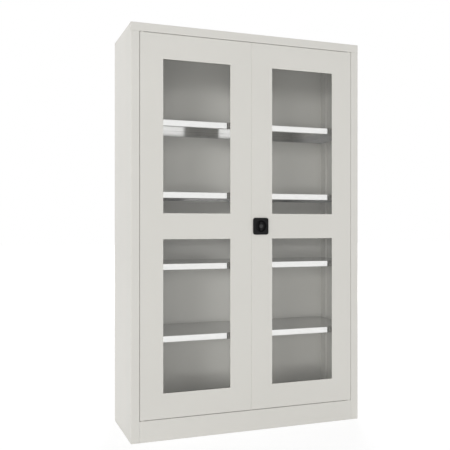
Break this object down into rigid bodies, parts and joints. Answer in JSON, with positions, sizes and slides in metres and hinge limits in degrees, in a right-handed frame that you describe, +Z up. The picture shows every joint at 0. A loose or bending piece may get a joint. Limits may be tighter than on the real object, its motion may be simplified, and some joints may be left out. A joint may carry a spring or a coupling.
{
  "type": "glass door cabinet",
  "caption": "Tall double-door steel cupboard with clear windows in its doors, adjustable metal shelves and a black turning-grip lock with rack-driven bolts.",
  "frame": {"origin": "middle of the bounding box on the ground", "axes": "+X to the right as seen from the front, +Y from the front to the back, +Z up"},
  "size_m": [1.2, 0.412, 1.95],
  "materials": {
    "body_paint": "fine light grey powder coat",
    "door_paint": "fine light grey powder coat",
    "shelf_metal": "bright galvanised sheet",
    "zinc_steel": "zinc plated",
    "glass": "clear polished",
    "lock_black": "black glass-filled plastic",
    "key_metal": "nickel plated",
    "die_cast": "raw zinc casting",
    "seal_rubber": "black rubber",
    "nylon": "natural nylon"
  },
  "bodies": {
    "carcass": {"back_panel": "body_paint", "door_buffers": "seal_rubber", "floor_panel": "body_paint", "left_bottom_pivot_pin": "zinc_steel", "left_front_upright": "body_paint", "left_rear_upright": "body_paint", "left_side_panel": "body_paint", "left_top_bush": "nylon", "plinth_panel": "body_paint", "right_bottom_pivot_pin": "zinc_steel", "right_front_upright": "body_paint", "right_rear_upright": "body_paint", "right_side_panel": "body_paint", "right_top_bush": "nylon", "rod_keepers": "zinc_steel", "shelf_1": "shelf_metal", "shelf_1_clips": "zinc_steel", "shelf_2": "shelf_metal", "shelf_2_clips": "zinc_steel", "shelf_3": "shelf_metal", "shelf_3_clips": "zinc_steel", "shelf_4": "shelf_metal", "shelf_4_clips": "zinc_steel", "top_panel": "body_paint"},
    "left_door": {"left_door_bottom_bush": "nylon", "left_door_glazing_nuts": "zinc_steel", "left_door_lower_glass": "glass", "left_door_lower_glazing_frame": "door_paint", "left_door_lower_glazing_seal": "seal_rubber", "left_door_panel": "door_paint", "left_door_top_pin": "zinc_steel", "left_door_upper_glass": "glass", "left_door_upper_glazing_frame": "door_paint", "left_door_upper_glazing_seal": "seal_rubber"},
    "right_door": {"right_door_bottom_bush": "nylon", "right_door_glazing_nuts": "zinc_steel", "right_door_lower_glass": "glass", "right_door_lower_glazing_frame": "door_paint", "right_door_lower_glazing_seal": "seal_rubber", "right_door_panel": "door_paint", "right_door_top_pin": "zinc_steel", "right_door_upper_glass": "glass", "right_door_upper_glazing_frame": "door_paint", "right_door_upper_glazing_seal": "seal_rubber", "lock_escutcheon": "lock_black", "lock_case": "die_cast", "lock_case_cover": "zinc_steel", "lock_case_screws": "zinc_steel", "rod_guides": "nylon"},
    "turn_handle": {"turn_grip": "lock_black", "drive_pinion": "zinc_steel", "key_cylinder": "key_metal"},
    "key_plug": {"key_plug": "key_metal"},
    "upper_rod": {"upper_rod": "zinc_steel"},
    "lower_rod": {"lower_rod": "zinc_steel"},
    "centre_bolt": {"centre_bolt": "zinc_steel"}
  },
  "joints": [
    {"name": "left_door_hinge", "type": "hinge", "parent": "carcass", "child": "left_door", "pos_m": [-0.546, -0.188, 0.1025], "axis": [0, 0, -1], "range_deg": [0, 110]},
    {"name": "right_door_hinge", "type": "hinge", "parent": "carcass", "child": "right_door", "pos_m": [0.546, -0.188, 0.1025], "axis": [0, 0, 1], "range_deg": [0, 110]},
    {"name": "handle_turn", "type": "hinge", "parent": "right_door", "child": "turn_handle", "pos_m": [0.048, -0.194, 1.00515], "axis": [0, 1, 0], "range_deg": [0, 90]},
    {"name": "key_turn", "type": "hinge", "parent": "turn_handle", "child": "key_plug", "pos_m": [0.048, -0.194, 1.00515], "axis": [0, 1, 0], "range_deg": [0, 90]},
    {"name": "upper_rod_slide", "type": "slide", "parent": "right_door", "child": "upper_rod", "axis": [0, 0, 1], "range_m": [0, 0.01885]},
    {"name": "lower_rod_slide", "type": "slide", "parent": "right_door", "child": "lower_rod", "axis": [0, 0, -1], "range_m": [0, 0.01885]},
    {"name": "centre_bolt_slide", "type": "slide", "parent": "right_door", "child": "centre_bolt", "axis": [-1, 0, 0], "range_m": [0, 0.01885]}
  ],
  "couplings": [
    {"joint": "handle_turn", "follows": "upper_rod_slide", "rad_per_m": 83.333},
    {"joint": "lower_rod_slide", "follows": "upper_rod_slide", "ratio": 1},
    {"joint": "centre_bolt_slide", "follows": "upper_rod_slide", "ratio": 1}
  ]
}
